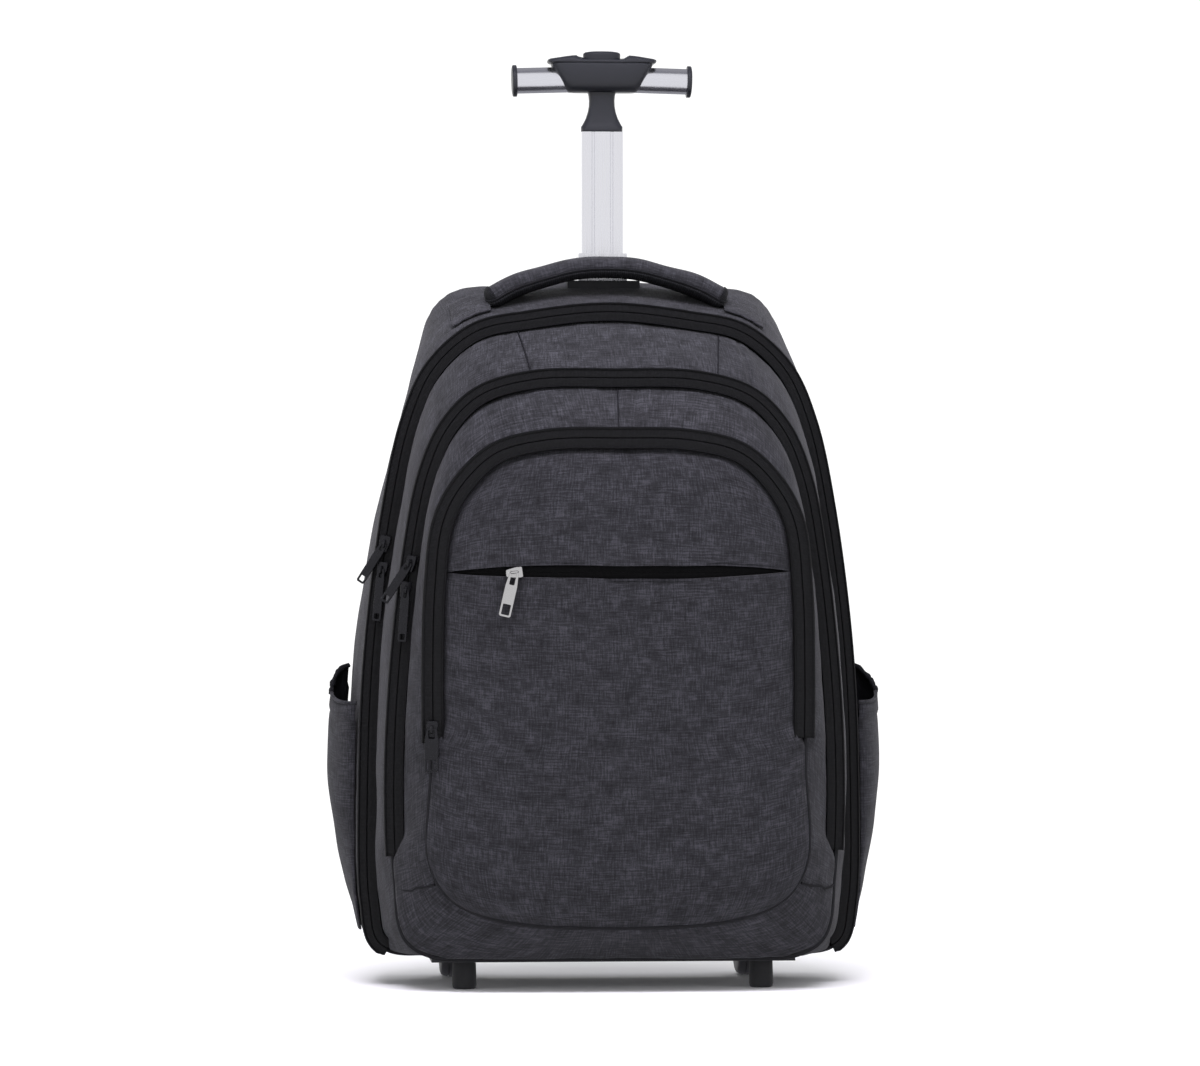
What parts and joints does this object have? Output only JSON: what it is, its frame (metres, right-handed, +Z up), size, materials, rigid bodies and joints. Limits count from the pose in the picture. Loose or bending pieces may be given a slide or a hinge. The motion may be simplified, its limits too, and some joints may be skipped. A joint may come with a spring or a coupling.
{
  "type": "wheeled backpack",
  "caption": "Cloth daypack with zipped compartments, side pockets, shoulder straps, rear wheels and a telescopic pole with a T-shaped grip.",
  "frame": {"origin": "middle of the footprint box on the floor that the wheels and feet stand on", "axes": "+Z up along the pole, -Y towards the front panel, +X to the right seen from the front"},
  "size_m": [0.4108, 0.2644, 0.6887],
  "materials": {
    "melange_cloth": "dark grey melange polyester, plain weave",
    "spacer_mesh": "black padded spacer mesh",
    "webbing": "black woven webbing",
    "zip_tape": "black knitted tape with nylon coil",
    "moulded_plastic": "black moulded plastic, fine grain",
    "grip_plastic": "black soft-touch moulded grip",
    "foot_rubber": "black moulded rubber",
    "wheel_tyre": "black polyurethane tread",
    "axle_steel": "plain steel pin",
    "anodised_aluminium": "satin anodised extrusion",
    "black_zip_metal": "black lacquered zinc",
    "bright_zip_metal": "nickel-plated zinc"
  },
  "bodies": {
    "bag": {"main_compartment": "melange_cloth", "middle_compartment": "melange_cloth", "front_compartment": "melange_cloth", "front_panel": "melange_cloth", "back_panel": "spacer_mesh", "side_pocket_left": "melange_cloth", "side_pocket_right": "melange_cloth", "grab_handle": "melange_cloth", "shoulder_strap_left": "melange_cloth", "shoulder_strap_right": "melange_cloth", "strap_webbing_left": "webbing", "strap_webbing_right": "webbing", "strap_buckle_left": "moulded_plastic", "strap_buckle_right": "moulded_plastic", "zip_main": "zip_tape", "zip_middle": "zip_tape", "zip_front": "zip_tape", "zip_pocket": "zip_tape", "base_plate": "moulded_plastic", "foot_left": "foot_rubber", "foot_right": "foot_rubber", "wheel_housing_left": "moulded_plastic", "wheel_housing_right": "moulded_plastic", "axle_left": "axle_steel", "axle_right": "axle_steel", "trolley_casing": "anodised_aluminium", "pole_collar": "moulded_plastic", "slider_main_upper": "black_zip_metal", "slider_main_lower": "black_zip_metal", "slider_middle_upper": "black_zip_metal", "slider_middle_lower": "black_zip_metal", "slider_front": "black_zip_metal", "slider_pocket": "bright_zip_metal"},
    "mid_stage": {"mid_tube": "anodised_aluminium"},
    "handle": {"inner_tube": "anodised_aluminium", "handle_neck": "grip_plastic", "handle_grip": "grip_plastic", "bar_left": "anodised_aluminium", "bar_right": "anodised_aluminium", "bar_cap_left": "grip_plastic", "bar_cap_right": "grip_plastic"},
    "button": {"push_button": "grip_plastic"},
    "wheel_left": {"tyre_left": "wheel_tyre", "hub_left": "moulded_plastic"},
    "wheel_right": {"tyre_right": "wheel_tyre", "hub_right": "moulded_plastic"},
    "tag_main_upper": {"pull_main_upper": "black_zip_metal"},
    "tag_main_lower": {"pull_main_lower": "black_zip_metal"},
    "tag_middle_upper": {"pull_middle_upper": "black_zip_metal"},
    "tag_middle_lower": {"pull_middle_lower": "black_zip_metal"},
    "tag_front": {"pull_front": "black_zip_metal"},
    "tag_pocket": {"pull_pocket": "bright_zip_metal"}
  },
  "joints": [
    {"name": "mid_stage_slide", "type": "slide", "parent": "bag", "child": "mid_stage", "axis": [0, 0, 1], "range_m": [0, 0.24]},
    {"name": "handle_slide", "type": "slide", "parent": "mid_stage", "child": "handle", "axis": [0, 0, 1], "range_m": [-0.09, 0.135]},
    {"name": "button_press", "type": "slide", "parent": "handle", "child": "button", "axis": [0, 0, -1], "range_m": [0, 0.003], "stiffness_N_per_m": 300, "springref_m": -0.003},
    {"name": "wheel_left_spin", "type": "hinge", "parent": "bag", "child": "wheel_left", "pos_m": [-0.1105, 0.05608, 0.032], "axis": [1, 0, 0], "continuous": true},
    {"name": "wheel_right_spin", "type": "hinge", "parent": "bag", "child": "wheel_right", "pos_m": [0.1105, 0.05608, 0.032], "axis": [1, 0, 0], "continuous": true},
    {"name": "tag_main_upper_swing", "type": "hinge", "parent": "bag", "child": "tag_main_upper", "pos_m": [-0.16498, -0.02937, 0.32214], "axis": [-0.8076, 0.2316, 0.5423], "range_deg": [0, 100]},
    {"name": "tag_main_lower_swing", "type": "hinge", "parent": "bag", "child": "tag_main_lower", "pos_m": [-0.16735, -0.02937, 0.30314], "axis": [-0.9626, 0.2575, 0.0847], "range_deg": [0, 100]},
    {"name": "tag_middle_upper_swing", "type": "hinge", "parent": "bag", "child": "tag_middle_upper", "pos_m": [-0.14896, -0.08437, 0.30816], "axis": [-0.7975, 0.2316, 0.5571], "range_deg": [0, 100]},
    {"name": "tag_middle_lower_swing", "type": "hinge", "parent": "bag", "child": "tag_middle_lower", "pos_m": [-0.15154, -0.08437, 0.28912], "axis": [-0.9639, 0.2575, 0.0673], "range_deg": [0, 100]},
    {"name": "tag_front_swing", "type": "hinge", "parent": "bag", "child": "tag_front", "pos_m": [-0.13434, -0.11937, 0.18999], "axis": [-0.9662, 0.2577, -0.0114], "range_deg": [0, 100]},
    {"name": "tag_pocket_swing", "type": "hinge", "parent": "bag", "child": "tag_pocket", "pos_m": [-0.076, -0.13022, 0.302], "axis": [-0.9744, 0.0079, 0.2248], "range_deg": [0, 100]}
  ]
}
